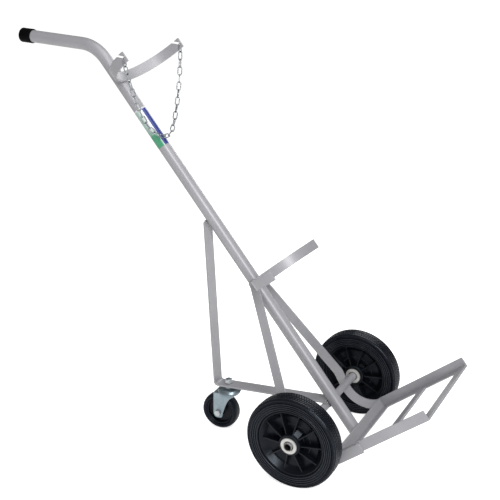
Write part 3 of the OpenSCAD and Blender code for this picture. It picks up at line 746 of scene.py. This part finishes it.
# ------------------------------------------------------------------ chain
def chain():
    pitch, n, wire, lw = 20.6, 25, 1.45, 13.4
    crown = pitch / 2 + 1.4
    half = n * pitch / 2
    hy = 129.75
    lo, hi = 30.0, 120.0
    for _ in range(40):
        m = (lo + hi) / 2
        if m * math.sinh(hy / m) > half:
            lo = m
        else:
            hi = m
    a = (lo + hi) / 2
    drop = a * (math.cosh(hy / a) - 1)
    hook = W(168, 0, 1031.5)
    bm = bmesh.new()

    def link(M, seed):
        rnd = random.Random(seed)
        rr = lw / 2 - 1.5
        c = crown - rr
        path = []
        for k in range(13):
            t = -math.pi / 2 + math.pi * k / 12
            path.append(Vector((c + rr * math.cos(t), rr * math.sin(t), 0)))
        for k in range(1, 6):
            path.append(Vector((c - 2 * c * k / 6, rr, 0)))
        for k in range(13):
            t = math.pi / 2 + math.pi * k / 12
            path.append(Vector((-c + rr * math.cos(t), rr * math.sin(t), 0)))
        for k in range(1, 6):
            path.append(Vector((-c + 2 * c * k / 6, -rr, 0)))
        # the weld sits in the middle of one leg
        rad = []
        for i in range(len(path)):
            d = abs(i - 15) if i < 20 else 99
            rad.append((wire + (0.22 if d == 0 else 0.12 if d == 1 else 0.0)) * MM)
        sweep(bm, [M @ (p * MM) for p in path], rad, n=12, closed=True, up=(M.to_3x3() @ Vector((0, 0, 1))))

    for m in (-1, 1):
        link(Matrix.Translation(hook + Vector((0, m * hy * MM, -crown * MM))) @ Matrix.Rotation(math.pi / 2, 4, "Y"), m)
    base = hook + Vector((0, 0, (-pitch - 1.4 - drop) * MM))
    for i in range(n):
        pts = []
        for l in (-half + pitch * i, -half + pitch * (i + 1)):
            q = math.asinh(l / a)
            pts.append(Vector((13 * math.exp(-(l / 60) ** 2), a * q, a * (math.cosh(q) - 1))))
        p0, p1 = pts
        d = p1 - p0
        twist = 45 * min(1, i / 4, (n - 1 - i) / 4)
        M = (Matrix.Translation(base + (p0 + p1) / 2 * MM) @ Matrix.Rotation(math.atan2(d.y, d.x), 4, "Z")
             @ Matrix.Rotation(-math.asin(d.z / d.length), 4, "Y") @ Matrix.Rotation(math.radians((0 if i % 2 == 0 else 90) + twist), 4, "X"))
        link(M, i)
    finish_piece(bm, "retaining_chain_finished", "chain", "chain_steel", nodes=("retaining_chain",), sharp=80.0)


chain()


# ------------------------------------------------------------------ label
def label():
    bm = bmesh.new()
    rnd = random.Random(3)
    nu, nv = 72, 40
    a0, a1 = math.radians(-150), math.radians(10)

    def grid(rad):
        g = []
        for i in range(nv + 1):
            row = []
            for j in range(nu + 1):
                u, v = j / nu, i / nv
                # rounded corners
                cu = min(u, 1 - u) * 47.0
                cv = min(v, 1 - v) * 118.5
                a = a0 + (a1 - a0) * u
                s = 819.5 + 118.5 * v
                if cu < 4 and cv < 4:
                    k = Vector((4 - cu, 4 - cv))
                    if k.length > 4:
                        k = k * (4 / k.length)
                        da = (4 - k.x) / 17.3
                        a = (a0 + da) if u < 0.5 else (a1 - da)
                        s = (819.5 + 4 - k.y) if v < 0.5 else (938 - 4 + k.y)
                lift = 0.0 if rad < 17.1 else 0.04 * noise.noise(Vector((a * 6, s / 14.0, 0)))
                row.append(bm.verts.new(W(27.65 + (rad + lift) * math.cos(a), (rad + lift) * math.sin(a), s)))
            g.append(row)
        return g

    g0, g1 = grid(17.02), grid(17.24)
    for g in (g0, g1):
        for i in range(nv):
            for j in range(nu):
                bm.faces.new((g[i][j], g[i][j + 1], g[i + 1][j + 1], g[i + 1][j]))
    for i in range(nv):
        for j in (0, nu):
            bm.faces.new((g0[i][j], g0[i + 1][j], g1[i + 1][j], g1[i][j]))
    for j in range(nu):
        for i in (0, nv):
            bm.faces.new((g0[i][j], g0[i][j + 1], g1[i][j + 1], g1[i][j]))
    finish_piece(bm, "tube_label_finished", "frame", "label_film", nodes=("tube_label",), sharp=50.0)


label()

# ------------------------------------------------------------------ stage
bm = bmesh.new()
R0 = 40.0
vs = [bm.verts.new((R0 * math.cos(2 * math.pi * k / 64), R0 * math.sin(2 * math.pi * k / 64), 0)) for k in range(64)]
bm.faces.new(vs)
me = bpy.data.meshes.new("floor")
bm.to_mesh(me)
bm.free()
floor = bpy.data.objects.new("floor", me)
scene.collection.objects.link(floor)
fm = Nodes("floor_pale")
fm.set(Base_Color=fm.ramp(fm.noise(1.5, 4.0), [(0.3, (0.90, 0.90, 0.90)), (0.7, (0.93, 0.93, 0.93))]), Roughness=0.9, Specular_IOR_Level=0.1,
       Emission_Color=(1.0, 1.0, 1.0))
fl = fm.nt.nodes.new("ShaderNodeLightPath")
fr = fm.nt.nodes.new("ShaderNodeMapRange")
fr.inputs["To Min"].default_value = 0.28
fr.inputs["To Max"].default_value = 0.66
fm.link(fl.outputs["Is Camera Ray"], fr.inputs["Value"])
fm.link(fr.outputs[0], fm.bsdf.inputs["Emission Strength"])
me.materials.append(fm.mat)

world = bpy.data.worlds.new("studio")
scene.world = world
world.use_nodes = True
wt = world.node_tree
bg = wt.nodes["Background"]
bg.inputs[0].default_value = (1.0, 1.0, 1.0, 1.0)
# the backdrop is seen white, and lights the object less
lp = wt.nodes.new("ShaderNodeLightPath")


def wmath(op, a, b, c=0.0):
    n = wt.nodes.new("ShaderNodeMath")
    n.operation = op
    for i, v in enumerate((a, b, c)):
        if isinstance(v, (int, float)):
            n.inputs[i].default_value = v
        else:
            wt.links.new(v, n.inputs[i])
    return n.outputs[0]


level = wmath("MULTIPLY_ADD", lp.outputs["Is Glossy Ray"], -0.24, 0.44)
level = wmath("MULTIPLY_ADD", lp.outputs["Is Camera Ray"], 0.52, level)
wt.links.new(level, bg.inputs[1])


def area(name, loc, target, size, power, size_y=None):
    d = bpy.data.lights.new(name, "AREA")
    d.energy = power
    d.size = size
    if size_y:
        d.shape = "RECTANGLE"
        d.size_y = size_y
    o = bpy.data.objects.new(name, d)
    o.location = loc
    o.rotation_euler = (Vector(target) - Vector(loc)).to_track_quat("-Z", "Y").to_euler()
    scene.collection.objects.link(o)
    return o


# a long softbox that lies along the spine
key = area("key", (2.62, -2.44, 2.42), (0, 0, 0.55), 0.8, 126, 2.5)
kz = (key.location - Vector((0, 0, 0.55))).normalized()
ky = Vector((-math.sin(TILT), 0, math.cos(TILT)))
ky = (ky - kz * ky.dot(kz)).normalized()
kx = ky.cross(kz)
key.rotation_euler = Matrix((kx, ky, kz)).transposed().to_euler()
area("fill", (-2.6, -2.0, 2.0), (0, 0, 0.5), 2.2, 1.5)
area("low", (-0.9, -2.6, 0.5), (0.1, 0, 0.2), 1.4, 3.5)
area("top", (0.95, 0.0, 3.0), (0.3, 0, 0.1), 2.0, 34)
area("back", (0.1, 2.7, 1.5), (0.15, 0, 0.15), 1.6, 23)

# camera, at the view that the object was seen from
az, el, roll = math.radians(29.89), math.radians(17.96), math.radians(-5.25)
back = Vector((math.sin(az) * math.cos(el), -math.cos(az) * math.cos(el), math.sin(el)))
right = Vector((math.cos(az), math.sin(az), 0))
upv = right.cross(-back)
right2 = right * math.cos(roll) + upv * math.sin(roll)
up2 = -right * math.sin(roll) + upv * math.cos(roll)
cam_d = bpy.data.cameras.new("camera")
cam = bpy.data.objects.new("camera", cam_d)
scene.collection.objects.link(cam)
M = Matrix((right2, up2, back)).transposed().to_4x4()
M.translation = Vector((1.01967 - MID, -2.11443, 1.33773))
cam.matrix_world = M
cam_d.sensor_width = 36.0
cam_d.lens = 965.72 / 500 * 36
cam_d.clip_end = 200
scene.camera = cam
scene.view_settings.view_transform = "Standard"
